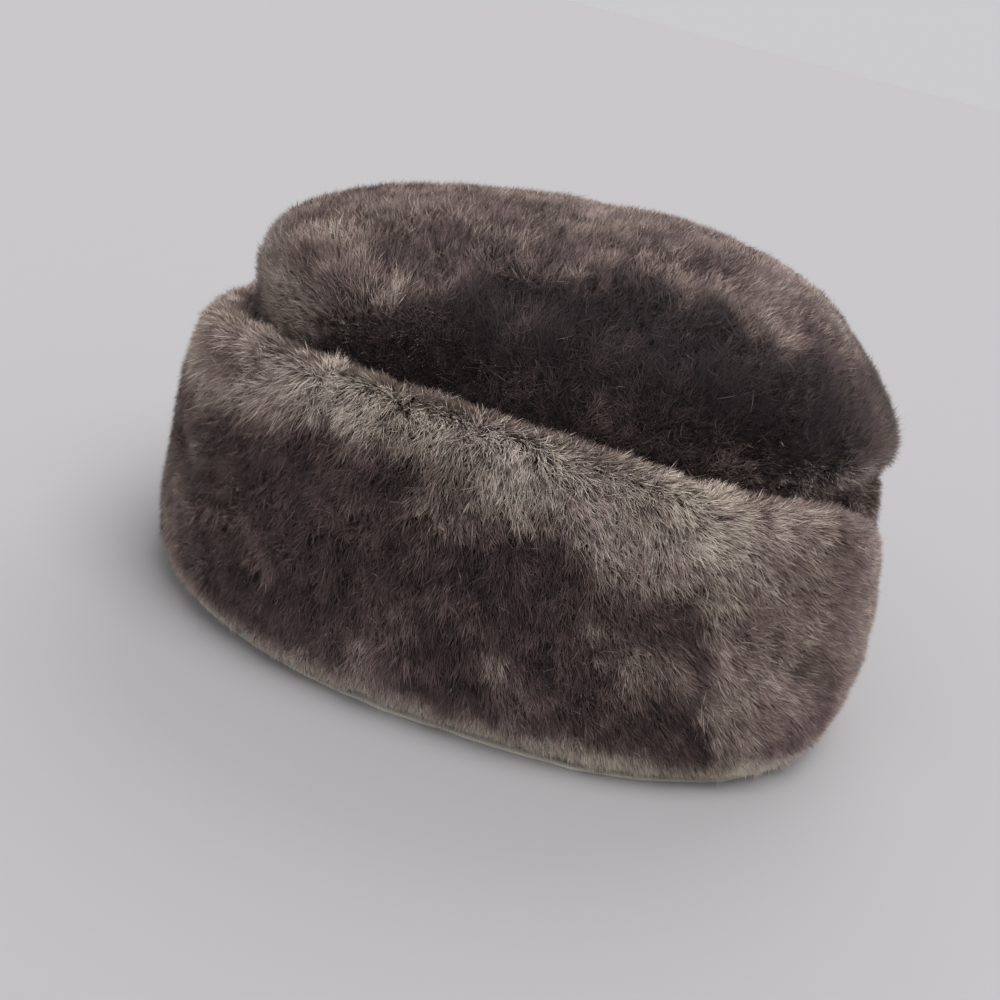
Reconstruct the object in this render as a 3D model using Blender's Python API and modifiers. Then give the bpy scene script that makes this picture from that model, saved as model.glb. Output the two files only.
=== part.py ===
"""Soft fur hat: a puffed oval crown in a deep turned-up cuff, with a thin lining turned out under the rim."""

from math import cos, pi, sin

import bpy
from mathutils import Vector

# Sizes are in metres. The front is -Y, the wearer's left is +X, and the rim rests on Z = 0.
# Widths, lengths and thicknesses are taken over the pile.

# Cuff
CUFF_LENGTH = 0.262
CUFF_WIDTH = 0.222
CUFF_HEIGHT = 0.1010
CUFF_THICKNESS = 0.020
CUFF_FRONT_DROP = 0.0105  # how much lower the top edge is at the front, and at the back
CUFF_BACK_DROP = 0.0125
CUFF_FRONT_DIP = 5  # how closely the front's drop keeps to the front: a higher number is a shorter dip
CUFF_FRONT_LEAN = 0.0030  # how far the top leans in
CUFF_SIDE_LEAN = 0.0046
CUFF_BACK_LEAN = 0.0080
CUFF_FRONT_TUCK = 0.0060  # how far the lower edge is drawn in under the cuff
CUFF_SIDE_TUCK = 0.0110
CUFF_BACK_TUCK = 0.0050
CUFF_BACK_TAPER = 0.0040  # how far the lower half of the back is drawn in
NOTCH_WIDTH = 0.044  # the V between the cuff's ends at the centre back
NOTCH_DEPTH = 0.017
CUFF_COLOUR = (0.105, 0.080, 0.072)

# Crown
CROWN_WALL = 0.008
CROWN_FRONT_PUFF = 0.0090  # how far the crown swells out past its waist
CROWN_SIDE_PUFF = 0.0010
CROWN_BACK_PUFF = 0.0155
CROWN_STAND = 0.028  # from the cuff's top at the side up to the crown's shoulder
CROWN_RISE = 0.0235  # from the shoulder up to the top of the dome
SLIT = 0.0022  # the dark gap between the crown and the top of the cuff
CROWN_COLOUR = (0.085, 0.065, 0.060)

# Lining
LINING_THICKNESS = 0.0015
LINING_HEIGHT = 0.030
LINING_INSET = 0.0110  # from the cuff's widest line in to the lining's outer edge
LINING_SLACK = 0.001  # how far the top of the band stands off the crown's wall
LINING_COLOUR = (0.42, 0.42, 0.36)

FUR_ROUGHNESS = 0.95
CLOTH_ROUGHNESS = 0.85

CLEARANCE = 0.0003

# Plan of the hat: an oval a little squarer than an ellipse, and wider at the back
SQUARENESS = 2.47
BACK_WIDENING = 0.045

# Cage points round each ring. One level of smoothing draws a ring in a little, so the cage is drawn that much
# larger.
RING_POINTS = 24
CAGE_SWELL = 4 / (3 + cos(2 * pi / RING_POINTS))

SEAT = LINING_THICKNESS + CLEARANCE  # where the crown and the cuff stand on the lining's turned edge

CROWN_TOP = CUFF_HEIGHT + CROWN_STAND + CROWN_RISE

# The cuff and the crown's wall lean in together, from none at the first share of the height to all at the
# second.
LEAN_FROM = 0.40
LEAN_TO = 0.95

# Cuff sections, from the inner edge of the base out, up and over the roll, and down the inner face.
# depth is a share of the cuff's thickness, tuck and taper are shares of their sizes, and rise is a share of the
# height.
CUFF_ROWS = [
    # depth, tuck, taper, rise
    (1.00, 0.00, 0.00, 0.00),
    (0.30, 0.62, 1.00, 0.00),
    (0.00, 0.72, 1.00, 0.03),
    (0.00, 0.16, 1.00, 0.14),
    (0.00, 0.00, 0.90, 0.30),
    (0.00, 0.00, 0.55, 0.54),
    (0.00, 0.00, 0.10, 0.76),
    (0.02, 0.00, 0.00, 0.92),
    (0.22, 0.00, 0.00, 1.01),
    (0.70, 0.00, 0.00, 1.02),
    (1.00, 0.00, 0.00, 0.90),
    (1.00, 0.00, 0.00, 0.62),
    (1.00, 0.00, 0.00, 0.40),
]

# Crown wall inside the cuff: slit is a share of its size, rise is a share of the cuff's height.
WAIST_ROWS = [
    # slit, rise
    (0.00, 0.00),
    (0.00, 0.40),
    (0.60, 0.62),
    (1.00, 0.90),
]

# Crown above the cuff: puff is a share of its sizes, reach is a share of the puffed plan, stand is a share of
# the way from the cuff's top up to the shoulder, and rise is a share of the way from there up to the top of the
# dome.
DOME_ROWS = [
    # puff, reach, stand, rise
    (0.84, 1.000, 0.30, 0.00),
    (1.00, 0.990, 0.55, 0.00),
    (1.00, 0.960, 0.84, 0.00),
    (1.00, 0.885, 1.00, 0.06),
    (1.00, 0.740, 1.00, 0.43),
    (1.00, 0.520, 1.00, 0.76),
    (1.00, 0.270, 1.00, 0.95),
]

# Lining, from its turned-out edge in under the rim and up the opening: inset is a share of the way from
# LINING_INSET in to the opening, slack and rise are shares of LINING_SLACK and LINING_HEIGHT.
LINING_ROWS = [
    # inset, slack, rise
    (0.00, 0.00, 0.00),
    (0.50, 0.00, 0.00),
    (1.00, 0.00, 0.00),
    (1.00, 0.30, 0.50),
    (1.00, 1.00, 1.00),
]
LINING_CORNER = 2  # the row where the turned-out edge meets the band


def blend(angle, front, side, back, ease=2):
    """A size that eases from its value at the sides to its value at the front or the back."""
    end = front if sin(angle) < 0 else back
    return side + (end - side) * abs(sin(angle)) ** ease


def ring(inset, height, reach=1.0):
    """Points round the hat's plan, drawn in from the cuff's widest line. inset and height vary with the angle."""
    points = []
    for step in range(RING_POINTS):
        angle = 2 * pi * step / RING_POINTS
        half_width = CUFF_WIDTH / 2 * (1 + BACK_WIDENING * sin(angle)) - inset(angle)
        half_length = CUFF_LENGTH / 2 - inset(angle)
        spread = (abs(cos(angle)) / half_width) ** SQUARENESS
        spread += (abs(sin(angle)) / half_length) ** SQUARENESS
        radius = reach * CAGE_SWELL * spread ** (-1 / SQUARENESS)
        points.append(Vector((radius * cos(angle), radius * sin(angle), height(angle))))
    return points


def cuff_top(angle):
    """The height of the cuff's top edge, which dips at the front and falls away to the back."""
    dip = blend(angle, CUFF_FRONT_DROP, 0, 0, ease=CUFF_FRONT_DIP)
    return CUFF_HEIGHT - dip - blend(angle, 0, 0, CUFF_BACK_DROP)


def cuff_level(angle, rise):
    """The height of a share of the cuff, which stands on the lining's turned edge."""
    return SEAT + rise * (cuff_top(angle) - SEAT)


def cuff_lean(angle, rise=1.0):
    """How far the cuff leans in at a share of its height."""
    share = min(max((rise - LEAN_FROM) / (LEAN_TO - LEAN_FROM), 0), 1)
    return share * share * (3 - 2 * share) * blend(angle, CUFF_FRONT_LEAN, CUFF_SIDE_LEAN, CUFF_BACK_LEAN)


def crown_puff(angle):
    """How far the crown swells out past its waist."""
    return blend(angle, CROWN_FRONT_PUFF, CROWN_SIDE_PUFF, CROWN_BACK_PUFF)


def crown_level(angle, stand, rise):
    """The height of a share of the crown's side, then of its dome."""
    shoulder = CUFF_HEIGHT + CROWN_STAND
    return cuff_top(angle) + stand * (shoulder - cuff_top(angle)) + rise * (CROWN_TOP - shoulder)


def loft(name, rings, collection, closed=False, apex=None):
    """A skin laid through rings of points. closed joins the last ring to the first, apex ends it in a point."""
    vertices = [point for one in rings for point in one]
    faces = []
    pairs = len(rings) if closed else len(rings) - 1
    for row in range(pairs):
        low = row * RING_POINTS
        high = (row + 1) % len(rings) * RING_POINTS
        for step in range(RING_POINTS):
            after = (step + 1) % RING_POINTS
            faces.append((low + step, low + after, high + after, high + step))
    if apex is not None:
        last = len(vertices) - RING_POINTS
        for step in range(RING_POINTS):
            faces.append((last + step, last + (step + 1) % RING_POINTS, len(vertices)))
        vertices.append(apex)
    mesh = bpy.data.meshes.new(name)
    mesh.from_pydata(vertices, [], faces)
    part = bpy.data.objects.new(name, mesh)
    collection.objects.link(part)
    return part


def crease_ring(part, row):
    """Keeps one ring of a loft crisp when the cage is smoothed."""
    mesh = part.data
    creases = mesh.attributes.get("crease_edge") or mesh.attributes.new("crease_edge", "FLOAT", "EDGE")
    for edge in mesh.edges:
        if all(vertex // RING_POINTS == row for vertex in edge.vertices):
            creases.data[edge.index].value = 1.0


def thicken(part, thickness):
    """Gives an open skin its wall, on the side away from its normals, with a crisp rim."""
    wall = part.modifiers.new("Wall", "SOLIDIFY")
    wall.thickness = thickness
    wall.offset = -1
    wall.use_even_offset = True
    wall.edge_crease_inner = 1.0
    wall.edge_crease_outer = 1.0


def smooth(part):
    """One level of smoothing over the coarse cage."""
    soften = part.modifiers.new("Soften", "SUBSURF")
    soften.levels = 1
    soften.render_levels = soften.levels
    part.data.shade_smooth()


def cut(part, cutter):
    """Takes the cutter's shape out of a part."""
    boolean = part.modifiers.new("Cut", "BOOLEAN")
    boolean.operation = "DIFFERENCE"
    boolean.solver = "EXACT"
    boolean.object = cutter


def finish(part, colour, roughness):
    """The part's own plain material."""
    material = bpy.data.materials.new(part.name)
    material.use_nodes = True
    shader = material.node_tree.nodes["Principled BSDF"]
    shader.inputs["Base Color"].default_value = (*colour, 1.0)
    shader.inputs["Roughness"].default_value = roughness
    shader.inputs["Metallic"].default_value = 0.0
    material.diffuse_color = (*colour, 1.0)
    part.data.materials.append(material)


def build_cuff(parts, cutters):
    """The turned-up fur band, with a rolled top edge and a V between its ends at the centre back."""
    rings = []
    for depth, tuck, taper, rise in CUFF_ROWS:
        rings.append(
            ring(
                lambda angle: depth * CUFF_THICKNESS
                + tuck * blend(angle, CUFF_FRONT_TUCK, CUFF_SIDE_TUCK, CUFF_BACK_TUCK)
                + taper * blend(angle, 0, 0, CUFF_BACK_TAPER)
                + cuff_lean(angle, rise),
                lambda angle: cuff_level(angle, rise),
            )
        )
    cuff = loft("cuff", rings, parts, closed=True)
    crease_ring(cuff, 0)
    crease_ring(cuff, 1)
    smooth(cuff)

    # The notch is a wedge that points down, twice as wide, deep and long as what it cuts.
    overshoot = 2
    apex = CUFF_HEIGHT - CUFF_BACK_DROP - NOTCH_DEPTH
    half_width = overshoot * NOTCH_WIDTH / 2
    top = apex + overshoot * NOTCH_DEPTH
    near = CUFF_LENGTH / 2 - overshoot * (CUFF_THICKNESS + CUFF_BACK_LEAN)
    far = CUFF_LENGTH / 2 + overshoot * CUFF_THICKNESS
    corners = [Vector((0, near, apex)), Vector((half_width, near, top)), Vector((-half_width, near, top))]
    corners += [Vector((corner.x, far, corner.z)) for corner in corners]
    mesh = bpy.data.meshes.new("notch")
    mesh.from_pydata(corners, [], [(0, 1, 2), (5, 4, 3), (0, 3, 4, 1), (1, 4, 5, 2), (2, 5, 3, 0)])
    notch = bpy.data.objects.new("notch", mesh)
    cutters.objects.link(notch)
    notch.hide_render = True
    notch.display_type = "WIRE"
    cut(cuff, notch)
    return cuff


def build_crown(parts):
    """The hollow crown: a wall inside the cuff, a swollen shoulder above it and a low dome."""
    rings = []
    face = CUFF_THICKNESS + CLEARANCE
    for slit, rise in WAIST_ROWS:
        rings.append(
            ring(
                lambda angle: face + cuff_lean(angle, rise) + slit * SLIT,
                lambda angle: cuff_level(angle, rise),
            )
        )
    for puff, reach, stand, rise in DOME_ROWS:
        rings.append(
            ring(
                lambda angle: face + cuff_lean(angle) + SLIT - puff * crown_puff(angle),
                lambda angle: crown_level(angle, stand, rise),
                reach=reach,
            )
        )
    crown = loft("crown", rings, parts, apex=Vector((0, 0, CROWN_TOP)))
    thicken(crown, CROWN_WALL)
    smooth(crown)
    return crown


def build_lining(parts):
    """The lining's lower edge: a thin band up the opening, turned out under the rim."""
    opening = CUFF_THICKNESS + CLEARANCE + CROWN_WALL + CLEARANCE + LINING_THICKNESS
    rings = []
    for inset, slack, rise in LINING_ROWS:
        height = rise * LINING_HEIGHT
        base = LINING_INSET + inset * (opening - LINING_INSET) + slack * LINING_SLACK
        rings.append(
            ring(
                lambda angle: base + cuff_lean(angle, height / cuff_top(angle)),
                lambda angle: height,
            )
        )
    lining = loft("lining", rings, parts)
    lining.data.flip_normals()
    crease_ring(lining, LINING_CORNER)
    thicken(lining, LINING_THICKNESS)
    smooth(lining)
    return lining


def main():
    for item in list(bpy.data.objects):
        bpy.data.objects.remove(item, do_unlink=True)
    parts = bpy.data.collections.new("fur_hat")
    cutters = bpy.data.collections.new("cutters")
    bpy.context.scene.collection.children.link(parts)
    bpy.context.scene.collection.children.link(cutters)

    finish(build_cuff(parts, cutters), CUFF_COLOUR, FUR_ROUGHNESS)
    finish(build_crown(parts), CROWN_COLOUR, FUR_ROUGHNESS)
    finish(build_lining(parts), LINING_COLOUR, CLOTH_ROUGHNESS)


main()
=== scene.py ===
"""Fur hat: dresses the crown, the cuff and the lining with pile and cloth, and sets the studio round them."""

from itertools import product
from math import cos, pi, sin

import bpy
import numpy as np
from mathutils import Matrix, Vector
from mathutils.bvhtree import BVHTree
from mathutils.kdtree import KDTree


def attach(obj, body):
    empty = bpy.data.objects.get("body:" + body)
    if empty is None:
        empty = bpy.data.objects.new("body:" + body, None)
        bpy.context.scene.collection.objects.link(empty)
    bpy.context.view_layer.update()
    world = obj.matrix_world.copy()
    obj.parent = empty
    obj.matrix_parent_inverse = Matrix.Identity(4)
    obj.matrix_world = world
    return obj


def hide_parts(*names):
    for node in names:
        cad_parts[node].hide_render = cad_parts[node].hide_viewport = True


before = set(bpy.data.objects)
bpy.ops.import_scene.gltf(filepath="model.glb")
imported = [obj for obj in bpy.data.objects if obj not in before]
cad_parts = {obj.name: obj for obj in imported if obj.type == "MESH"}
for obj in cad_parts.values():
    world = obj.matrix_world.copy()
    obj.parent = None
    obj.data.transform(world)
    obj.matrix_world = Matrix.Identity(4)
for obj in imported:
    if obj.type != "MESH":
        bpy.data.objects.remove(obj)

bl_info = {
    "name": "Fur Hat",
    "version": (1, 0, 0),
    "blender": (4, 5, 0),
    "location": "View3D > Sidebar > Fur Hat",
    "description": "A soft fur hat with a puffed crown, a deep turned-up cuff and a thin lining",
    "category": "Add Mesh",
}

# Sizes are in metres. The front is -Y, the wearer's left is +X, and the rim rests on Z = 0.

# Cuff
CUFF_LENGTH = 0.262
CUFF_WIDTH = 0.222
CUFF_HEIGHT = 0.1010
CUFF_THICKNESS = 0.020
CUFF_DROP = (0.0105, 0.0125)  # at the front and the back
CUFF_FRONT_DIP = 5
CUFF_LEAN = (0.0030, 0.0046, 0.0080)  # at the front, the side and the back
CUFF_TUCK = (0.0060, 0.0110, 0.0050)
CUFF_BACK_TAPER = 0.0040
LEAN_FROM = 0.40
LEAN_TO = 0.95
NOTCH_WIDTH = 0.044
NOTCH_DEPTH = 0.017
NOTCH_FOOT = 0.050  # the height below which the notch moves nothing
SEAM_DEPTH = 0.0015
SEAM_WIDTH = 0.003
DROOP = 0.0105  # how much further the cuff's left end hangs beside the notch
FOOT_SPREAD = 0.016  # how far the cuff's foot stands out at the back, as a share

# Crown
CROWN_WALL = 0.008
CROWN_PUFF = (0.0090, 0.0010, 0.0155)
CROWN_STAND = 0.028
CROWN_RISE = 0.0235
CROWN_TOP = CUFF_HEIGHT + CROWN_STAND + CROWN_RISE
SLIT = 0.0022
DOME_LIFT = (0.0032, -0.0013, 0.0010)  # at the back, the front and the middle
NECK_SPREAD = (0.036, 0.105)  # how far the back stands out above the cuff, and how fast it draws in

# Lining
LINING_THICKNESS = 0.0015
LINING_HEIGHT = 0.030
LINING_INSET = 0.0110
LINING_SLACK = 0.001
CLEARANCE = 0.0003
SEAT = LINING_THICKNESS + CLEARANCE

# Plan
SQUARENESS = 2.47
BACK_WIDENING = 0.045
RING_POINTS = 24
CAGE_SWELL = 4 / (3 + cos(2 * pi / RING_POINTS))

# Cuff sections from the inner edge of the base out, up and over the roll, and down the inner face.
CUFF_ROWS = [
    # depth, tuck, taper, rise, pile
    (1.00, 0.00, 0.00, 0.00, 0.00),
    (0.30, 0.62, 1.00, 0.00, 0.45),
    (0.00, 0.72, 1.00, 0.03, 0.90),
    (0.00, 0.16, 1.00, 0.14, 1.00),
    (0.00, 0.00, 0.90, 0.30, 1.00),
    (0.00, 0.00, 0.55, 0.54, 1.00),
    (0.00, 0.00, 0.10, 0.76, 1.00),
    (0.02, 0.00, 0.00, 0.92, 1.00),
    (0.22, 0.00, 0.00, 1.01, 0.85),
    (0.64, 0.00, 0.00, 1.03, 0.70),
    (0.90, 0.00, 0.00, 0.99, 0.45),
    (1.00, 0.00, 0.00, 0.88, 0.08),
    (1.00, 0.00, 0.00, 0.62, 0.00),
    (1.00, 0.00, 0.00, 0.40, 0.00),
]

WAIST_ROWS = [
    # slit, rise, pile
    (0.00, 0.00, 0.00),
    (0.00, 0.40, 0.00),
    (0.60, 0.62, 0.10),
    (1.00, 0.90, 0.60),
]

DOME_ROWS = [
    # puff, reach, stand, rise, pile
    (0.84, 1.000, 0.30, 0.00, 0.9),
    (1.00, 0.990, 0.55, 0.00, 1.0),
    (1.00, 0.960, 0.84, 0.00, 1.0),
    (1.00, 0.885, 1.00, 0.06, 1.0),
    (1.00, 0.740, 1.00, 0.43, 1.0),
    (1.00, 0.520, 1.00, 0.76, 1.0),
    (1.00, 0.270, 1.00, 0.95, 1.0),
]

LINING_ROWS = [
    # inset, slack, rise
    (0.00, 0.00, 0.00),
    (0.50, 0.00, 0.00),
    (0.94, 0.00, 0.00),
    (1.00, 0.00, 0.05),
    (1.00, 0.30, 0.50),
    (1.00, 1.00, 1.00),
]
LINING_CLOTH = 0.0008  # the thickness of the cloth alone
STITCHES = 150
STITCH_SIZE = (0.0024, 0.0005, 0.0005)  # along, through and up
STITCH_HEIGHT = 0.0265

# Dents and creases, in millimetres: centre, half length along Y, half height, depth.
CUFF_DENTS = [
    (61, -113, 53, 12, 5, 3.6),
    (64, -110, 81, 10, 7, -1.6),
    (80, -90, 88, 5, 4, 1.2),
    (108, 20, 60, 40, 16, 0.8),
    (-104, -30, 66, 30, 14, 1.0),
    (-70, 98, 70, 18, 12, 1.2),
]

CROWN_DENTS = [
    (52, -46, 139, 16, 10, 1.4),
    (70, -60, 112, 14, 7, 1.0),
    (-66, 30, 132, 26, 12, 1.2),
    (-72, -52, 118, 14, 9, 1.0),
]

# How high the dark pile reaches, in millimetres: the place along Y, the height
CUFF_DARK = [
    (-125, 68),
    (-100, 73),
    (-80, 81),
    (-60, 83),
    (-45, 88),
    (-38, 89),
    (-28, 86),
    (-22, 77),
    (-10, 72),
    (5, 76),
    (25, 75),
    (40, 67),
    (58, 66),
    (68, 56),
    (76, 26),
    (84, 0),
]

CROWN_DARK = [
    (-85, 86),
    (-70, 99),
    (-58, 111),
    (-43, 118),
    (-30, 127),
    (-19, 131),
    (-8, 134),
    (3, 137),
    (14, 139),
    (36, 141),
    (48, 139),
    (60, 134),
    (75, 134),
    (89, 129),
    (105, 120),
]

# Patches where the pile is brushed lighter or darker, in millimetres: centre, half length along Y and
# half height. The last value is what the patch adds to the tone.
CUFF_PATCHES = [
    # x, y, z, length, height, tone
    (50, -118, 86, 22, 13, 0.10),
    (65, -112, 30, 8, 22, 0.34),
    (90, -66, 97, 18, 7, 0.10),
    (95, -67, 82, 12, 8, -0.10),
    (99, -50, 95, 14, 6, 0.44),
    (104, -24, 96, 11, 5, 0.26),
    (107, -15, 84, 10, 8, -0.20),
    (107, 4, 77, 9, 4, 0.18),
    (104, 8, 97, 12, 4, 0.26),
    (99, 22, 101, 12, 4, -0.16),
    (106, 34, 77, 6, 4, -0.14),
    (97, 73, 56, 8, 6, -0.12),
    (107, 36, 17, 24, 6, 0.24),
    (99, 68, 18, 14, 7, 0.20),
    (106, 4, 88, 16, 8, 0.06),
    (103, 32, 90, 18, 10, 0.14),
    (102, 57, 80, 9, 9, 0.18),
    (98, 72, 67, 8, 9, 0.10),
    (82, 92, 77, 12, 8, -0.10),
    (63, 103, 92, 8, 8, -0.22),
    (96, -72, 38, 7, 7, 0.22),
    (86, -91, 44, 7, 9, 0.20),
    (103, -52, 24, 8, 8, 0.16),
    (108, -28, 25, 9, 7, 0.30),
    (107, -26, 15, 12, 6, 0.20),
    (111, 12, 32, 8, 5, 0.36),
    (110, 24, 24, 11, 6, 0.24),
    (111, 19, 46, 7, 4, 0.14),
    (109, 33, 48, 9, 4, 0.20),
    (109, 45, 41, 8, 8, 0.34),
    (104, 56, 43, 8, 6, 0.26),
    (102, 67, 43, 7, 10, 0.36),
    (108, 47, 31, 7, 5, 0.28),
    (109, 39, 61, 8, 5, 0.12),
    (99, 60, 10, 16, 5, 0.20),
]

CROWN_PATCHES = [
    # x, y, z, length, height, tone
    (62, -84, 104, 14, 14, 0.38),
    (44, -83, 131, 14, 10, 0.28),
    (77, -52, 118, 12, 6, 0.36),
    (74, -44, 129, 12, 6, -0.34),
    (54, -46, 139, 18, 8, -0.40),
    (63, -62, 131, 10, 6, -0.20),
    (57, -2, 142, 12, 6, -0.14),
    (75, 10, 130, 30, 6, -0.12),
    (72, 76, 107, 18, 10, -0.26),
    (85, 19, 104, 12, 4, 0.12),
    (57, -25, 141, 8, 5, 0.08),
    (55, 18, 143, 12, 5, 0.20),
    (73, 34, 132, 28, 7, -0.13),
    (72, 2, 134, 14, 6, -0.10),
    (22, 38, 149, 22, 14, -0.12),
    (78, 62, 96, 9, 6, 0.48),
    (70, 77, 96, 6, 4, 0.34),
    (61, 87, 96, 8, 6, 0.34),
    (58, 94, 113, 14, 12, -0.14),
    (68, 74, 121, 20, 10, -0.12),
    (57, 62, 138, 8, 5, 0.18),
    (43, 89, 131, 8, 6, 0.22),
    (30, 106, 118, 10, 12, 0.20),
]

# Smooth noise in layers: how strong, how large
MOTTLE = ((0.05, 0.030), (0.08, 0.011), (0.13, 0.0048), (0.11, 0.0024))  # of the tone
SKIN_BUMPS = (0.0008, 0.020)  # of the backing, in metres
INNER_CREASES = ((0.0006, 0.016), (0.0004, 0.007))  # inside the crown
LINING_WAVES = ((0.0010, 0.020), (0.0006, 0.007))

# The lean of the pile away from upright, in radians
CUFF_PILE_LEAN = 0.54
CREST_LEAN = 0.20  # more over the cuff's crest
INNER_LEAN = -0.74  # less down its inner face
FRONT_LEAN = 0.26
CROWN_PILE_LEAN = 0.66
DOME_LEAN = -0.12

# Tones run from 0 in the darkest pile to 1 in the lightest.
CUFF_TONE = (0.20, 0.48)  # in the dark pile, and what the light pile adds
CUFF_BACK_SHADE = (-0.12, -0.10)  # painted shade in two steps towards the notch, damping the sheen where the side turns away
# Painted light on the hem, for its backlit tips and against the shade under the rim
HEM_PAINTED_LIGHT = 0.70
INNER_TONE = -0.50
CROWN_TONE = (0.04, 0.36)
# Painted light at the crown's foot towards the back, against the shade of the slit behind the cuff
CROWN_FOOT_PAINTED_LIGHT = 0.12
# Painted light on the crown's far half, for the light rim where the top turns away
CROWN_FAR_RIM_LIGHT = 0.07

# Clumps and strands
GATHER = 0.17  # how far strands bend to the tip of their clump
SKIN_SHADING = 0.80  # the backing's share in how a strand is shaded
TONE_SPAN = 0.0012  # half a strand's width in the map of tones

# Loose fibres and lint: how many, length, width and tone
CUFF_FIBRES = (3600, 0.0045, 0.00017, 0.50)
CUFF_LINT = (50, 0.0018, 0.00036, 0.92)
CROWN_FIBRES = (3200, 0.0042, 0.00017, 0.42)
CROWN_LINT = (46, 0.0018, 0.00036, 0.92)

# How far clumps and single strands stray: the nap along X, Y and Z, the lean, the height and the tone.
CLUMP_STRAY = (0.32, 0.32, 0.32, 0.18, 0.07, 0.09)
STRAND_STRAY = (0.46, 0.46, 0.46, 0.24, 0.10, 0.16)

# The camera
CAMERA_PLACE = (0.44632, 0.03430, 0.21693)
CAMERA_AIM = (-0.92548, -0.09242, -0.36734)
CAMERA_UP = (-0.32877, -0.28565, 0.90017)
CAMERA_LENS = 46.65

# Sun lamps: name, place, angle and strength
LAMPS = (
    ("key", (1.2, 1.2, 4.4), 0.75, 2.5),
    ("fill", (4.0, -2.5, 2.6), 0.80, 0.6),
    ("back", (-3.6, 0.6, 3.0), 0.85, 1.5),
)
STUDIO = (0.80, 0.79, 0.81)
STUDIO_STRENGTH = 0.75


class PileSettings(bpy.types.PropertyGroup):
    depth: bpy.props.FloatProperty(
        name="Pile depth",
        description="From the backing up to the tips of the pile",
        default=0.0047,
        unit="LENGTH",
    )
    width: bpy.props.FloatProperty(
        name="Strand width", description="Width of one strand at its root", default=0.00032, unit="LENGTH"
    )
    tuft: bpy.props.FloatProperty(
        name="Tufts",
        description="How far tufts stand above the rest of the pile",
        default=0.0010,
        unit="LENGTH",
    )
    clump: bpy.props.FloatProperty(
        name="Clump size",
        description="Width of the clumps that lean together",
        default=0.0013,
        unit="LENGTH",
    )
    cuff_strands: bpy.props.IntProperty(
        name="Cuff strands", description="Strands in each of the cuff's pieces", default=184000
    )
    crown_strands: bpy.props.IntProperty(
        name="Crown strands", description="Strands in each of the crown's pieces", default=156000
    )


class ColourSettings(bpy.types.PropertyGroup):
    dark: bpy.props.FloatVectorProperty(
        name="Dark pile", description="The darkest strands", default=(0.0160, 0.0100, 0.0120), subtype="COLOR"
    )
    brown: bpy.props.FloatVectorProperty(
        name="Brown pile",
        description="The strands between dark and taupe",
        default=(0.096, 0.065, 0.063),
        subtype="COLOR",
    )
    taupe: bpy.props.FloatVectorProperty(
        name="Taupe pile",
        description="The strands between brown and light",
        default=(0.295, 0.218, 0.193),
        subtype="COLOR",
    )
    light: bpy.props.FloatVectorProperty(
        name="Light pile", description="The lightest strands", default=(0.66, 0.59, 0.51), subtype="COLOR"
    )
    skin: bpy.props.FloatVectorProperty(
        name="Backing",
        description="The knitted backing under the pile",
        default=(0.030, 0.024, 0.024),
        subtype="COLOR",
    )
    cloth: bpy.props.FloatVectorProperty(
        name="Lining", description="The lining's cloth", default=(0.54, 0.52, 0.45), subtype="COLOR"
    )
    floor: bpy.props.FloatVectorProperty(
        name="Floor", description="The studio floor", default=(0.34, 0.332, 0.338), subtype="COLOR"
    )


def scatter(cells, seed):
    """A fixed number from -1 to 1 for each whole cell."""
    mixed = cells[:, 0] * 374761393 + cells[:, 1] * 668265263 + cells[:, 2] * 1440662683 + seed * 97
    mixed = mixed & 0xFFFFFFFF
    mixed = ((mixed ^ (mixed >> 13)) * 1274126177) & 0xFFFFFFFF
    return (mixed ^ (mixed >> 16)) / 0x7FFFFFFF - 1


def lumps(points, size, seed):
    """Smooth noise from -1 to 1, with lumps of about one size."""
    scaled = points / size + 50
    cells = np.floor(scaled).astype(np.int64)
    share = scaled - cells
    share = share * share * (3 - 2 * share)
    total = np.zeros(len(points))
    for corner in product((0, 1), repeat=3):
        corner = np.array(corner)
        total += np.prod(np.where(corner, share, 1 - share), axis=1) * scatter(cells + corner, seed)
    return total


def layered(points, layers, seed, step=1):
    """Layers of smooth noise added up. Each one's seed is a step further on."""
    total = np.zeros(len(points))
    for index, (strength, size) in enumerate(layers):
        total += strength * lumps(points, size, seed + step * index)
    return total


def stir(points, layers, seed):
    """Layers of smooth noise along X, Y and Z."""
    return np.stack([layered(points, layers, seed + axis, step=10) for axis in range(3)], axis=1)


def unit(vectors):
    return vectors / np.maximum(np.linalg.norm(vectors, axis=1, keepdims=True), 1e-12)


def ease(values, low, high):
    """A smooth step from 0 at low to 1 at high."""
    share = np.clip((values - low) / (high - low), 0, 1)
    return share * share * (3 - 2 * share)


def blend(angle, front, side, back, power=2):
    end = front if sin(angle) < 0 else back
    return side + (end - side) * abs(sin(angle)) ** power


def plan(angle, inset):
    """How far the hat's plan is from its centre, drawn in from the cuff's widest line."""
    half_width = CUFF_WIDTH / 2 * (1 + BACK_WIDENING * sin(angle)) - inset
    half_length = CUFF_LENGTH / 2 - inset
    spread = (abs(cos(angle)) / half_width) ** SQUARENESS + (abs(sin(angle)) / half_length) ** SQUARENESS
    return spread ** (-1 / SQUARENESS)


def ring(inset, height, reach=1.0):
    """Points round the hat's plan, far enough out that the softened surface meets it."""
    points = []
    for step in range(RING_POINTS):
        angle = 2 * pi * step / RING_POINTS
        radius = reach * CAGE_SWELL * plan(angle, inset(angle))
        points.append((radius * cos(angle), radius * sin(angle), height(angle)))
    return points


def cuff_top(angle):
    dip = blend(angle, CUFF_DROP[0], 0, 0, power=CUFF_FRONT_DIP)
    return CUFF_HEIGHT - dip - blend(angle, 0, 0, CUFF_DROP[1])


def cuff_level(angle, rise):
    return SEAT + rise * (cuff_top(angle) - SEAT)


def cuff_lean(angle, rise=1.0):
    share = min(max((rise - LEAN_FROM) / (LEAN_TO - LEAN_FROM), 0), 1)
    return share * share * (3 - 2 * share) * blend(angle, *CUFF_LEAN)


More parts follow.
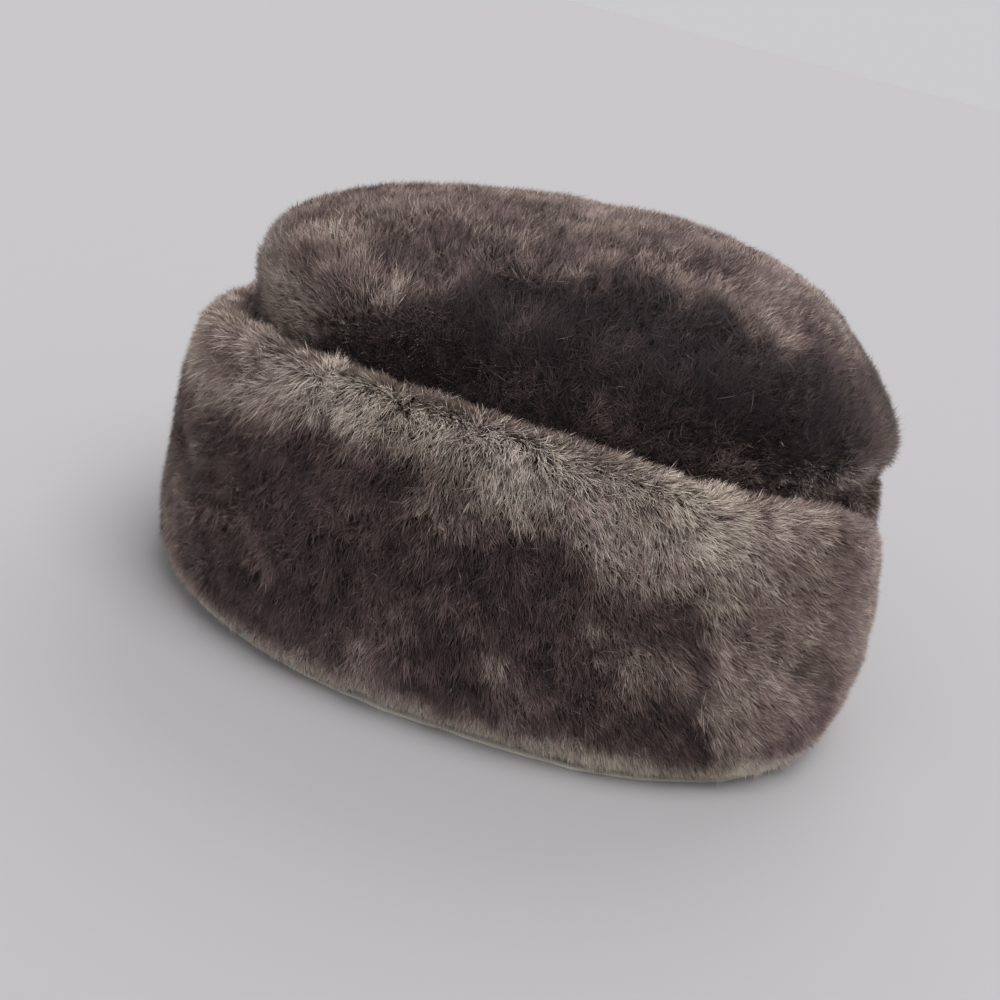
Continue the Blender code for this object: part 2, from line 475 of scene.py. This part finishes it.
def loft(name, rings, piles, levels, closed=False, apex=None):
    """A smooth grid through rings of points. An attribute keeps how much pile stands on each ring."""
    vertices = [point for one in rings for point in one]
    shares = [share for share in piles for _ in range(RING_POINTS)]
    faces = []
    for row in range(len(rings) if closed else len(rings) - 1):
        low = row * RING_POINTS
        high = (row + 1) % len(rings) * RING_POINTS
        for step in range(RING_POINTS):
            after = (step + 1) % RING_POINTS
            faces.append((low + step, low + after, high + after, high + step))
    if apex is not None:
        last = len(vertices) - RING_POINTS
        for step in range(RING_POINTS):
            faces.append((last + step, last + (step + 1) % RING_POINTS, len(vertices)))
        vertices.append(apex)
        shares.append(1.0)
    mesh = bpy.data.meshes.new(name)
    mesh.from_pydata(vertices, [], faces)
    mesh.attributes.new("pile", "FLOAT", "POINT").data.foreach_set("value", shares)
    grid = bpy.data.objects.new(name, mesh)
    bpy.context.scene.collection.objects.link(grid)
    bpy.ops.object.select_all(action="DESELECT")
    bpy.context.view_layer.objects.active = grid
    grid.select_set(True)
    soften = grid.modifiers.new("Soften", "SUBSURF")
    soften.levels = levels
    soften.render_levels = levels
    bpy.ops.object.modifier_apply(modifier=soften.name)
    mesh.shade_smooth()
    return grid


def read_vertices(mesh):
    places = np.empty(len(mesh.vertices) * 3)
    mesh.vertices.foreach_get("co", places)
    normals = np.empty(len(mesh.vertices) * 3)
    mesh.vertex_normals.foreach_get("vector", normals)
    return places.reshape(-1, 3), normals.reshape(-1, 3)


def read_pile(mesh):
    shares = np.empty(len(mesh.vertices))
    mesh.attributes["pile"].data.foreach_get("value", shares)
    return shares


def write_vertices(mesh, places):
    mesh.vertices.foreach_set("co", places.ravel())
    mesh.update()


def spread_foot(places):
    """Sets the cuff's foot out at the back."""
    low = ease(places[:, 1], 0.05, 0.10) * ease(-places[:, 2], -0.065, -0.030)
    places[:, :2] *= 1 + FOOT_SPREAD * low[:, None]


def swell_crown(places):
    """Lifts the dome's back and middle, lowers its front and shapes its back above the cuff."""
    along, height = places[:, 1], places[:, 2]
    back, front, middle = DOME_LIFT
    height += back * ease(height, 0.115, 0.140) * ease(along, -0.03, 0.07)
    height += front * ease(height, 0.115, 0.140) * ease(-along, 0.01, 0.05)
    height += middle * ease(height, 0.130, 0.148) * ease(0.03 - abs(along - 0.03), 0, 0.02)
    neck = ease(along, 0.06, 0.10) * ease(height, 0.088, 0.100)
    neck *= NECK_SPREAD[0] - NECK_SPREAD[1] * ease(height, 0.100, 0.130)
    places[:, :2] *= 1 + neck[:, None]


def lower_notch(places):
    """Lets the cuff's top edge down into a V at the centre back, lower on the wearer's left, over a seam."""
    across = np.abs(places[:, 0]) / (NOTCH_WIDTH / 2)
    depth = NOTCH_DEPTH * np.clip(1 - across, 0, 1) ** 1.15
    depth += DROOP * ease(-places[:, 0], -0.066, -0.026) * ease(places[:, 0], -0.004, 0.020)
    back = ease(places[:, 1], 0.05, 0.08)
    reach = np.clip((places[:, 2] - NOTCH_FOOT) / (CUFF_HEIGHT - CUFF_DROP[1] - NOTCH_FOOT), 0, 1)
    moved = places.copy()
    moved[:, 2] -= depth * back * reach
    moved[:, 1] -= SEAM_DEPTH * back * np.exp(-((places[:, 0] / SEAM_WIDTH) ** 2))
    return moved


def dent(places, normals, dents):
    """Presses the dents into a skin."""
    moved = places.copy()
    for x, y, z, length, height, depth in dents:
        apart = (places * 1000 - (x, y, z)) / (length, length, height)
        moved -= normals * (0.001 * depth * np.exp(-np.sum(apart * apart, axis=1)))[:, None]
    return moved


def form_skin(mesh, dents, seed):
    """Dents the shape that the tips of the pile take and sinks the mesh under it. Returns that shape."""
    places, normals = read_vertices(mesh)
    places = dent(places, normals, dents)
    depth = bpy.context.scene.hat_pile.depth - layered(places, [SKIN_BUMPS], seed)[:, None]
    write_vertices(mesh, places - normals * read_pile(mesh)[:, None] * depth)
    return places, normals


def sample(mesh, count, generator):
    """Places on a skin whose strands end evenly spread: places, normals and pile shares."""
    mesh.calc_loop_triangles()
    corners = np.empty(len(mesh.loop_triangles) * 3, dtype=np.int32)
    mesh.loop_triangles.foreach_get("vertices", corners)
    corners = corners.reshape(-1, 3)
    places, normals = read_vertices(mesh)
    shares = read_pile(mesh)
    ends = places + normals * (bpy.context.scene.hat_pile.depth * shares)[:, None]
    a, b, c = (ends[corners[:, index]] for index in range(3))
    area = np.linalg.norm(np.cross(b - a, c - a), axis=1) / 2
    area *= ease(shares[corners].mean(axis=1), 0.02, 0.25)
    total = np.cumsum(area)
    if count is None:
        count = int(total[-1] / bpy.context.scene.hat_pile.clump ** 2)
    picks = (np.arange(count) + generator.random(count)) / count * total[-1]
    chosen = np.minimum(np.searchsorted(total, picks), len(total) - 1)
    u, v = generator.random(count), generator.random(count)
    over = u + v > 1
    u[over], v[over] = 1 - u[over], 1 - v[over]
    mix = np.stack([1 - u - v, u, v], axis=1)
    picked = corners[chosen]
    roots = np.einsum("ij,ijk->ik", mix, places[picked])
    facing = unit(np.einsum("ij,ijk->ik", mix, normals[picked]))
    return roots, facing, np.einsum("ij,ij->i", mix, shares[picked])


def nearest(points, centres):
    tree = KDTree(len(centres))
    for index, centre in enumerate(centres):
        tree.insert(centre, index)
    tree.balance()
    return np.array([tree.find(point)[1] for point in points])


def warp(points):
    """The points in millimetres, all on the wearer's left, and pushed about so that edges come out ragged."""
    moved = points * 1000
    moved[:, 0] = np.abs(moved[:, 0])
    return moved + stir(points, ((4.5, 0.017), (3.0, 0.005)), 31)


def light_above(warped, table, softness):
    """From 0 in the dark pile to 1 above it."""
    along, heights = zip(*table)
    return ease(warped[:, 2] - np.interp(warped[:, 1], along, heights), -softness, softness)


def patch_tone(warped, patches):
    """What the brushed patches add to the tone at each point."""
    total = np.zeros(len(warped))
    for x, y, z, length, height, tone in patches:
        apart = (warped - (x, y, z)) / (max(height, 10), length, height)
        total += tone * np.exp(-np.sum(apart * apart, axis=1))
    return total


def flat(nap, normals):
    """The nap's direction laid along the skin."""
    return unit(nap - normals * np.sum(nap * normals, axis=1, keepdims=True))


def uneven(count, generator):
    """Shares round 1, for strands that aren't all as wide."""
    return 0.7 + 0.6 * generator.random(count)


def strands(name, rows, widths, tones, normals, roll):
    """One mesh of many strands, none below the floor. rows holds each one's points from root to tip."""
    count, steps = rows.shape[:2]
    rows[..., 2] = np.maximum(rows[..., 2], widths[:, None])
    along = unit(rows[:, -1] - rows[:, 0])
    side = unit(np.cross(along, normals))
    side = side * np.cos(roll)[:, None] + np.cross(along, side) * np.sin(roll)[:, None]
    per = 2 * steps - 1
    vertices = np.empty((count, per, 3))
    uvs = np.empty((count, per, 2))
    tones = np.clip(tones, 0.004, 0.996)
    for step in range(steps - 1):
        half = side * widths[:, None] / 2 * (1 - step / (steps - 1))
        vertices[:, 2 * step] = rows[:, step] - half
        vertices[:, 2 * step + 1] = rows[:, step] + half
        uvs[:, 2 * step, 0] = tones - TONE_SPAN
        uvs[:, 2 * step + 1, 0] = tones + TONE_SPAN
        uvs[:, 2 * step : 2 * step + 2, 1] = step / (steps - 1)
    vertices[:, -1] = rows[:, -1]
    uvs[:, -1, 0] = tones
    uvs[:, -1, 1] = 1
    faces = []
    for step in range(steps - 2):
        low = 2 * step
        faces += [(low, low + 1, low + 3), (low, low + 3, low + 2)]
    faces = np.array(faces + [(per - 3, per - 2, per - 1)])
    corners = (faces[None] + (np.arange(count) * per)[:, None, None]).reshape(-1)
    mesh = bpy.data.meshes.new(name)
    mesh.vertices.add(count * per)
    mesh.vertices.foreach_set("co", vertices.ravel())
    mesh.loops.add(len(corners))
    mesh.loops.foreach_set("vertex_index", corners.astype(np.int32))
    mesh.polygons.add(len(corners) // 3)
    mesh.polygons.foreach_set("loop_start", np.arange(0, len(corners), 3, dtype=np.int32))
    mesh.update(calc_edges=True)
    layer = mesh.uv_layers.new(name="OFBake")
    layer.data.foreach_set("uv", uvs.reshape(-1, 2)[corners].ravel())
    mesh.shade_smooth()
    shown = unit(SKIN_SHADING * normals + (1 - SKIN_SHADING) * np.cross(side, along))
    mesh.normals_split_custom_set_from_vertices(np.repeat(shown, per, axis=0))
    piece = bpy.data.objects.new(name, mesh)
    bpy.context.scene.collection.objects.link(piece)
    return piece


def lay(points, normals, shares, style, stray):
    """How far a strand reaches from each point and its tone. stray shakes its nap, lean, height and tone."""
    settings = bpy.context.scene.hat_pile
    nap, lean, tone = style(points, normals)
    nap = flat(nap + stir(points, ((0.6, 0.012), (0.5, 0.005)), 51) + stray[:, :3], normals)
    lean = np.clip(lean * (1 + stray[:, 3]) + 0.5 * stray[:, 3], 0.04, 0.98)
    height = settings.depth * (0.25 + 0.75 * shares) * (1.01 + stray[:, 4])
    height += settings.tuft * (lumps(points, 0.0060, 7) + 0.7 * lumps(points, 0.0027, 8))
    tone = tone + stray[:, 5] * (0.45 + np.clip(tone, 0, 1))
    return (normals + nap * np.tan(lean)[:, None]) * height[:, None], tone


def part_clumps(mesh, seed, style):
    """The clumps that a skin's pile falls into: their centres, their tips and how far each one strays."""
    generator = np.random.default_rng(seed)
    centres, normals, shares = sample(mesh, None, generator)
    stray = generator.normal(size=(len(centres), 6)) * CLUMP_STRAY
    return centres, centres + lay(centres, normals, shares, style, stray)[0], stray


def grow(name, mesh, count, seed, style, clumps):
    """Pile on a skin. style gives the nap, the lean and the tone at each root."""
    settings = bpy.context.scene.hat_pile
    generator = np.random.default_rng(seed)
    roots, normals, shares = sample(mesh, count, generator)
    centres, ends, stray = clumps
    own = nearest(roots, centres)
    stray = stray[own] + generator.normal(size=(count, 6)) * STRAND_STRAY
    reach, tones = lay(roots, normals, shares, style, stray)
    tips = roots + reach
    tips += (ends[own] - tips) * GATHER
    widths = settings.width * uneven(count, generator)
    roll = generator.normal(size=count) * 0.5
    return strands(name, np.stack([roots, tips], axis=1), widths, tones, normals, roll)


def loose(name, mesh, seed, style, count, length, width, tone):
    """Loose fibres or lint that curl up out of the pile."""
    settings = bpy.context.scene.hat_pile
    generator = np.random.default_rng(seed)
    roots, normals, shares = sample(mesh, count, generator)
    nap = flat(style(roots, normals)[0] + generator.normal(size=(count, 3)) * 1.2, normals)
    curl = unit(generator.normal(size=(count, 3)))
    span = (length * (0.5 + generator.random(count)))[:, None]
    low = roots + normals * (settings.depth * (0.62 + 0.2 * generator.random(count)) * shares)[:, None]
    middle = low + (nap * 0.45 + normals * 0.16 + curl * 0.05) * span
    tips = low + (nap * 0.85 + normals * 0.28 + curl * 0.25) * span
    widths = width * uneven(count, generator)
    tones = tone + 0.12 * generator.normal(size=count)
    roll = generator.normal(size=count)
    return strands(name, np.stack([low, middle, tips], axis=1), widths, tones, normals, roll)


def cuff_style(points, normals):
    """Over the roll, then down and back. The pile is light above the dark side, and the hem is painted light
    for its backlit tips and against the shade under it.
    """
    along, height = points[:, 1], points[:, 2]
    outward = unit(points * (1, 1, 0))
    around = np.cross((0, 0, 1), outward)
    down = np.cross(around, normals)
    turn = np.radians(40 - 24 * ease(along, -0.10, -0.04) + 42 * ease(along, -0.04, 0.08))[:, None]
    facing = np.sum(normals * outward, axis=1)
    front = ease(-along, 0.0, 0.09)
    over = CREST_LEAN * ease(-facing, -0.75, -0.05) + INNER_LEAN * ease(-facing, 0.35, 0.80)
    lean = CUFF_PILE_LEAN + over * ease(height, 0.05, 0.06) + FRONT_LEAN * front * ease(facing, 0.0, 0.8)
    nap = down * np.cos(turn) + around * np.sign(points[:, 0:1]) * np.sin(turn)
    nap *= (1 - 0.3 * front)[:, None]
    warped = warp(points)
    tone = CUFF_TONE[0] + CUFF_TONE[1] * light_above(warped, CUFF_DARK, 8) + patch_tone(warped, CUFF_PATCHES)
    # Painted shade towards the back, damping the sheen where the side turns away
    tone += CUFF_BACK_SHADE[0] * ease(along, 0.052, 0.070) + CUFF_BACK_SHADE[1] * ease(along, 0.085, 0.105)
    # The hem is painted light, for its backlit tips and against its shade
    tone += HEM_PAINTED_LIGHT * (1 - ease(height, 0.006, 0.019)) + INNER_TONE * ease(-facing, 0.05, 0.6)
    return nap, lean, tone + layered(points, MOTTLE, 5)


def crown_style(points, normals):
    """Up the side and towards the back over the dome, dark on the side and lighter over the top, with painted
    light on the far half and at the foot.
    """
    around = unit(np.cross((0, 0, 1), points * (1, 1, 0)))
    up = np.cross(normals, around)
    over = ease(normals[:, 2], 0.55, 0.98)
    nap = up * (1 - over)[:, None] + np.array((-0.3, 0.6, 0.0)) * over[:, None]
    warped = warp(points)
    tone = CROWN_TONE[0] + CROWN_TONE[1] * light_above(warped, CROWN_DARK, 4.5)
    # Painted rim light on the crown's far half
    tone += patch_tone(warped, CROWN_PATCHES) + CROWN_FAR_RIM_LIGHT * ease(-points[:, 0], -0.03, 0.02)
    # Painted light at the crown's foot, against the slit's shade
    tone += CROWN_FOOT_PAINTED_LIGHT * (1 - ease(points[:, 2], 0.101, 0.117)) * ease(points[:, 1], -0.03, 0.01)
    return 0.65 * nap, CROWN_PILE_LEAN + DOME_LEAN * over, tone + layered(points, MOTTLE, 15)


def material(name, colour, roughness):
    made = bpy.data.materials.new(name)
    made.use_nodes = True
    made.diffuse_color = (*colour, 1.0)
    shader = made.node_tree.nodes["Principled BSDF"]
    shader.inputs["Base Color"].default_value = (*colour, 1.0)
    shader.inputs["Roughness"].default_value = roughness
    return made, made.node_tree, shader


def feed(tree, node, inputs):
    """Gives each of a node's inputs its plain value or the output that feeds it."""
    for name, value in inputs.items():
        if isinstance(value, bpy.types.NodeSocket):
            tree.links.new(value, node.inputs[name])
        else:
            node.inputs[name].default_value = value


def add_node(tree, kind, inputs, operation=None):
    """A new node with its inputs fed."""
    node = tree.nodes.new(kind)
    if operation:
        node.operation = operation
    feed(tree, node, inputs)
    return node


def add_ramp(tree, factor, stops):
    """A colour ramp. stops holds each place with its colour."""
    node = add_node(tree, "ShaderNodeValToRGB", {"Fac": factor})
    elements = node.color_ramp.elements
    for element, (place, colour) in zip(elements, (stops[0], stops[-1])):
        element.position = place
        element.color = (*colour, 1)
    for place, colour in stops[1:-1]:
        elements.new(place).color = (*colour, 1)
    return node


def pile_material(name):
    """Pile that goes from dark to light along its map's first axis and from root to tip along the other,
    where painted shade darkens each strand towards its root.
    """
    colours = bpy.context.scene.hat_colours
    made, tree, shader = material(name, colours.brown, 0.75)
    coordinates = tree.nodes.new("ShaderNodeUVMap")
    coordinates.uv_map = "OFBake"
    split = add_node(tree, "ShaderNodeSeparateXYZ", {"Vector": coordinates.outputs["UV"]})
    stops = ((0, colours.dark), (0.33, colours.brown), (0.66, colours.taupe), (1, colours.light))
    tone = add_ramp(tree, split.outputs["X"], stops)
    # Painted shade: each strand darkens towards its root, where the pile shades itself
    shadow = {"Value": split.outputs["Y"], "From Min": 0.10, "From Max": 0.90, "To Min": 0.26, "To Max": 1.20}
    height = add_node(tree, "ShaderNodeMapRange", shadow)
    height.interpolation_type = "SMOOTHSTEP"
    shade = {0: tone.outputs["Color"], "Scale": height.outputs["Result"]}
    shaded = add_node(tree, "ShaderNodeVectorMath", shade, "SCALE")
    places = tree.nodes.new("ShaderNodeTexCoord")
    drift = add_node(tree, "ShaderNodeTexNoise", {"Scale": 28, "Vector": places.outputs["Object"]})
    hue = add_ramp(tree, drift.outputs["Fac"], ((0.35, (0.98, 1.00, 0.95)), (0.65, (1.02, 0.99, 1.03))))
    tint = {0: shaded.outputs["Vector"], 1: hue.outputs["Color"]}
    tinted = add_node(tree, "ShaderNodeVectorMath", tint, "MULTIPLY")
    finish = {
        "Base Color": tinted.outputs["Vector"],
        "Specular IOR Level": 0.25,
        "Sheen Weight": 0.70,
        "Sheen Roughness": 0.30,
        "Sheen Tint": (0.85, 0.72, 0.66, 1),
    }
    feed(tree, shader, finish)
    return made


def grain_group():
    """A cloth's grain, for every woven face: how light each thread is, and the normal of its relief."""
    name = "cloth_grain"
    if name in bpy.data.node_groups:
        return bpy.data.node_groups[name]
    group = bpy.data.node_groups.new(name, "ShaderNodeTree")
    for label, kind, way in (
        ("Pitch", "NodeSocketFloat", "INPUT"),
        ("Relief", "NodeSocketFloat", "INPUT"),
        ("Thread", "NodeSocketFloat", "OUTPUT"),
        ("Wear", "NodeSocketFloat", "OUTPUT"),
        ("Normal", "NodeSocketVector", "OUTPUT"),
    ):
        group.interface.new_socket(name=label, in_out=way, socket_type=kind)
    entry = group.nodes.new("NodeGroupInput")
    places = group.nodes.new("ShaderNodeTexCoord")
    split = add_node(group, "ShaderNodeSeparateXYZ", {"Vector": places.outputs["Object"]})
    turns = add_node(group, "ShaderNodeMath", {0: 2 * pi, 1: entry.outputs["Pitch"]}, "DIVIDE")
    waves = []
    for across in ("X", "Y"):
        slant = {0: split.outputs[across], 1: split.outputs["Z"]}
        along = add_node(group, "ShaderNodeMath", slant, "ADD")
        angle = {0: along.outputs["Value"], 1: turns.outputs["Value"]}
        scaled = add_node(group, "ShaderNodeMath", angle, "MULTIPLY")
        wave = add_node(group, "ShaderNodeMath", {0: scaled.outputs["Value"]}, "SINE")
        waves.append(wave.outputs["Value"])
    crossed = add_node(group, "ShaderNodeMath", dict(enumerate(waves)), "MULTIPLY")
    thread = add_node(group, "ShaderNodeMapRange", {"From Min": -1, "Value": crossed.outputs["Value"]})
    cloudy = {"Scale": 55, "Detail": 6, "Vector": places.outputs["Object"]}
    wear = add_node(group, "ShaderNodeTexNoise", cloudy)
    bump = {"Distance": entry.outputs["Relief"], "Height": thread.outputs["Result"]}
    relief = add_node(group, "ShaderNodeBump", bump)
    outcome = group.nodes.new("NodeGroupOutput")
    feed(group, outcome, {"Thread": thread.outputs["Result"], "Wear": wear.outputs["Fac"]})
    feed(group, outcome, {"Normal": relief.outputs["Normal"]})
    return group


def woven_material(name, colour, roughness, pitch):
    """Cloth whose threads and worn places are a little lighter and darker than its colour."""
    made, tree, shader = material(name, colour, roughness)
    grain = tree.nodes.new("ShaderNodeGroup")
    grain.node_tree = grain_group()
    feed(tree, grain, {"Pitch": pitch, "Relief": pitch / 5})
    threads = tree.nodes.new("ShaderNodeMix")
    threads.data_type = "RGBA"
    low, high = ((*(share * part for part in colour), 1) for share in (0.62, 1.12))
    feed(tree, threads, {"A": low, "B": high, "Factor": grain.outputs["Thread"]})
    wear = {"Value": grain.outputs["Wear"], "From Min": 0.3, "From Max": 0.7, "To Min": 0.78, "To Max": 1.10}
    worn = add_node(tree, "ShaderNodeMapRange", wear)
    shade = {0: threads.outputs["Result"], "Scale": worn.outputs["Result"]}
    shaded = add_node(tree, "ShaderNodeVectorMath", shade, "SCALE")
    feed(tree, shader, {"Base Color": shaded.outputs["Vector"], "Normal": grain.outputs["Normal"]})
    return made


def skin_material(name):
    return woven_material(name, bpy.context.scene.hat_colours.skin, 0.95, 0.0016)


def cloth_material(name):
    return woven_material(name, bpy.context.scene.hat_colours.cloth, 0.80, 0.0009)


def dress(piece, node, *materials):
    """Gives a piece its materials, puts it under the root body and hides the node it stands for."""
    for one in materials:
        piece.data.materials.append(one)
    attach(piece, "root")
    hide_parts(node)


def cover(mesh, node, style, layers, count, fibres, lint, seed):
    """Grows a skin's pile, one piece for each layer, with stray fibres and lint among it."""
    pile = pile_material(f"{node}_pile")
    clumps = part_clumps(mesh, seed, style)
    for index in range(layers):
        piece = grow(f"{node}_pile_{index + 1}", mesh, count, seed + 10 + 17 * index, style, clumps)
        dress(piece, node, pile)
    dress(loose(f"{node}_stray_fibres", mesh, seed + 60, style, *fibres), node, pile)
    dress(loose(f"{node}_lint", mesh, seed + 70, style, *lint), node, pile)


class HAT_OT_cuff(bpy.types.Operator):
    """Makes the cuff's backing and its pile"""

    bl_idname = "hat.cuff"
    bl_label = "Cuff"

    def execute(self, context):
        rings = []
        for depth, tuck, taper, rise, _ in CUFF_ROWS:
            rings.append(
                ring(
                    lambda angle: depth * CUFF_THICKNESS
                    + tuck * blend(angle, *CUFF_TUCK)
                    + taper * blend(angle, 0, 0, CUFF_BACK_TAPER)
                    + cuff_lean(angle, rise),
                    lambda angle: cuff_level(angle, rise),
                )
            )
        backing = loft("cuff_backing", rings, [row[4] for row in CUFF_ROWS], 3, closed=True)
        mesh = backing.data
        places, _ = read_vertices(mesh)
        spread_foot(places)
        write_vertices(mesh, lower_notch(places))
        form_skin(mesh, CUFF_DENTS, 3)
        dress(backing, "cuff", skin_material("cuff_backing"))
        count = context.scene.hat_pile.cuff_strands
        cover(mesh, "cuff", cuff_style, 3, count, CUFF_FIBRES, CUFF_LINT, 91)
        return {"FINISHED"}


class HAT_OT_crown(bpy.types.Operator):
    """Makes the crown's backing and its pile"""

    bl_idname = "hat.crown"
    bl_label = "Crown"

    def execute(self, context):
        face = CUFF_THICKNESS + CLEARANCE
        rings = []
        for slit, rise, _ in WAIST_ROWS:
            rings.append(
                ring(
                    lambda angle: face + cuff_lean(angle, rise) + slit * SLIT,
                    lambda angle: cuff_level(angle, rise),
                )
            )
        shoulder = CUFF_HEIGHT + CROWN_STAND
        for puff, reach, stand, rise, _ in DOME_ROWS:
            rings.append(
                ring(
                    lambda angle: face + cuff_lean(angle) + SLIT - puff * blend(angle, *CROWN_PUFF),
                    lambda angle: cuff_top(angle)
                    + stand * (shoulder - cuff_top(angle))
                    + rise * (CROWN_TOP - shoulder),
                    reach=reach,
                )
            )
        piles = [row[-1] for row in WAIST_ROWS + DOME_ROWS]
        backing = loft("crown_backing", rings, piles, 2, apex=(0, 0, CROWN_TOP))
        mesh = backing.data
        places, _ = read_vertices(mesh)
        swell_crown(places)
        write_vertices(mesh, places)
        places, normals = form_skin(mesh, CROWN_DENTS, 4)
        count = context.scene.hat_pile.crown_strands
        cover(mesh, "crown", crown_style, 2, count, CROWN_FIBRES, CROWN_LINT, 191)
        creases = layered(places, INNER_CREASES, 23) * ease(places[:, 2], 0.04, 0.06)
        self.close(mesh, places - normals * (CROWN_WALL + creases[:, None]))
        dress(backing, "crown", skin_material("crown_backing"), cloth_material("crown_inside"))
        return {"FINISHED"}

    def close(self, mesh, inner):
        """Adds the inner face and joins the two along the rim."""
        outer, _ = read_vertices(mesh)
        faces = [tuple(face.vertices) for face in mesh.polygons]
        count = len(outer)
        uses = {}
        for face in faces:
            for start, end in zip(face, face[1:] + face[:1]):
                uses[(start, end)] = True
        rim = [pair for pair in uses if (pair[1], pair[0]) not in uses]
        closed = faces + [tuple(index + count for index in reversed(face)) for face in faces]
        closed += [(end, start, start + count, end + count) for start, end in rim]
        mesh.clear_geometry()
        mesh.from_pydata(np.vstack([outer, inner]).tolist(), [], closed)
        marks = np.zeros(len(closed), dtype=np.int32)
        marks[len(faces) :] = 1
        mesh.polygons.foreach_set("material_index", marks)
        mesh.shade_smooth()
        mesh.update()


class HAT_OT_lining(bpy.types.Operator):
    """Makes the lining's band and its edge, turned out under the rim"""

    bl_idname = "hat.lining"
    bl_label = "Lining"

    def execute(self, context):
        opening = CUFF_THICKNESS + CLEARANCE + CROWN_WALL + CLEARANCE + LINING_THICKNESS
        rings = []
        for inset, slack, rise in LINING_ROWS:
            height = rise * LINING_HEIGHT
            base = LINING_INSET + inset * (opening - LINING_INSET) + slack * LINING_SLACK
            rings.append(
                ring(
                    lambda angle: base + cuff_lean(angle, height / cuff_top(angle)),
                    lambda angle: height,
                )
            )
        band = loft("lining_band", rings, [0] * len(rings), 2)
        places, _ = read_vertices(band.data)
        edge = 1 - ease(places[:, 2], 0.0, 0.004)
        wave = layered(places, LINING_WAVES, 26) * (0.4 + 0.6 * edge)
        outward = unit(places * (1, 1, 0))
        write_vertices(band.data, places + outward * wave[:, None])
        band.data.flip_normals()
        wall = band.modifiers.new("Wall", "SOLIDIFY")
        wall.thickness = LINING_CLOTH
        wall.offset = -1
        wall.use_even_offset = True
        bpy.ops.object.modifier_apply(modifier=wall.name)
        dress(band, "lining", cloth_material("lining_cloth"))
        thread = self.sew(band.data)
        dress(thread, "lining", cloth_material("lining_thread"))
        return {"FINISHED"}

    def sew(self, cloth):
        """Running stitches round the inside of the band, near its top."""
        corners = [vertex.co for vertex in cloth.vertices]
        surface = BVHTree.FromPolygons(corners, [tuple(face.vertices) for face in cloth.polygons])
        box = np.array(list(product((-0.5, 0.5), repeat=3))) * STITCH_SIZE
        sides = ((0, 1, 3, 2), (4, 6, 7, 5), (0, 4, 5, 1), (2, 3, 7, 6), (0, 2, 6, 4), (1, 5, 7, 3))
        middle = Vector((0, 0, STITCH_HEIGHT))
        vertices, faces = [], []
        for step in range(STITCHES):
            angle = 2 * pi * step / STITCHES
            place, inward, _, _ = surface.ray_cast(middle, Vector((cos(angle), sin(angle), 0)))
            along = inward.cross(Vector((0, 0, 1))).normalized()
            up = along.cross(inward)
            for x, y, z in box:
                vertices.append(place + along * x + inward * y + up * (z + 0.15 * x))
            faces += [tuple(8 * step + corner for corner in side) for side in sides]
        mesh = bpy.data.meshes.new("lining_stitches")
        mesh.from_pydata(vertices, [], faces)
        stitches = bpy.data.objects.new("lining_stitches", mesh)
        bpy.context.scene.collection.objects.link(stitches)
        return stitches


class HAT_OT_stage(bpy.types.Operator):
    """Sets the floor, the light and the camera"""

    bl_idname = "hat.stage"
    bl_label = "Stage"

    def execute(self, context):
        colours = context.scene.hat_colours
        bpy.ops.object.select_all(action="DESELECT")
        bpy.ops.mesh.primitive_plane_add(size=60)
        floor = context.object
        floor.name = "floor"
        made, _, shader = material("floor", colours.floor, 0.9)
        shader.inputs["Specular IOR Level"].default_value = 0
        floor.data.materials.append(made)
        for name, place, spread, power in LAMPS:
            turn = (-Vector(place)).to_track_quat("-Z", "Y").to_euler()
            bpy.ops.object.light_add(type="SUN", location=place, rotation=turn)
            light = context.object
            light.name = name
            light.data.angle = spread
            light.data.energy = power
        world = bpy.data.worlds.new("studio")
        world.use_nodes = True
        glow = {"Color": (*STUDIO, 1), "Strength": STUDIO_STRENGTH}
        feed(world.node_tree, world.node_tree.nodes["Background"], glow)
        context.scene.world = world
        aim = Vector(CAMERA_AIM)
        up = Vector(CAMERA_UP)
        turn = Matrix((aim.cross(up), up, -aim)).transposed().to_euler()
        bpy.ops.object.camera_add(location=CAMERA_PLACE, rotation=turn)
        camera = context.object
        camera.name = "camera"
        camera.data.lens = CAMERA_LENS
        camera.data.sensor_width = 36
        context.scene.camera = camera
        context.scene.view_settings.view_transform = "Standard"
        return {"FINISHED"}


class HAT_PT_panel(bpy.types.Panel):
    """Lists the hat's pieces and their settings"""

    bl_label = "Fur Hat"
    bl_idname = "HAT_PT_panel"
    bl_space_type = "VIEW_3D"
    bl_region_type = "UI"
    bl_category = "Fur Hat"

    def draw(self, context):
        for operator in OPERATORS:
            self.layout.operator(operator.bl_idname)
        for group in (context.scene.hat_pile, context.scene.hat_colours):
            for name in group.__annotations__:
                self.layout.prop(group, name)


OPERATORS = (HAT_OT_cuff, HAT_OT_crown, HAT_OT_lining, HAT_OT_stage)
CLASSES = (PileSettings, ColourSettings, *OPERATORS, HAT_PT_panel)


def register():
    for one in CLASSES:
        bpy.utils.register_class(one)
    bpy.types.Scene.hat_pile = bpy.props.PointerProperty(type=PileSettings)
    bpy.types.Scene.hat_colours = bpy.props.PointerProperty(type=ColourSettings)


def unregister():
    del bpy.types.Scene.hat_pile
    del bpy.types.Scene.hat_colours
    for one in reversed(CLASSES):
        bpy.utils.unregister_class(one)


def main():
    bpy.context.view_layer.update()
    register()
    bpy.ops.hat.cuff()
    bpy.ops.hat.crown()
    bpy.ops.hat.lining()
    bpy.ops.hat.stage()


if __name__ == "__main__":
    main()
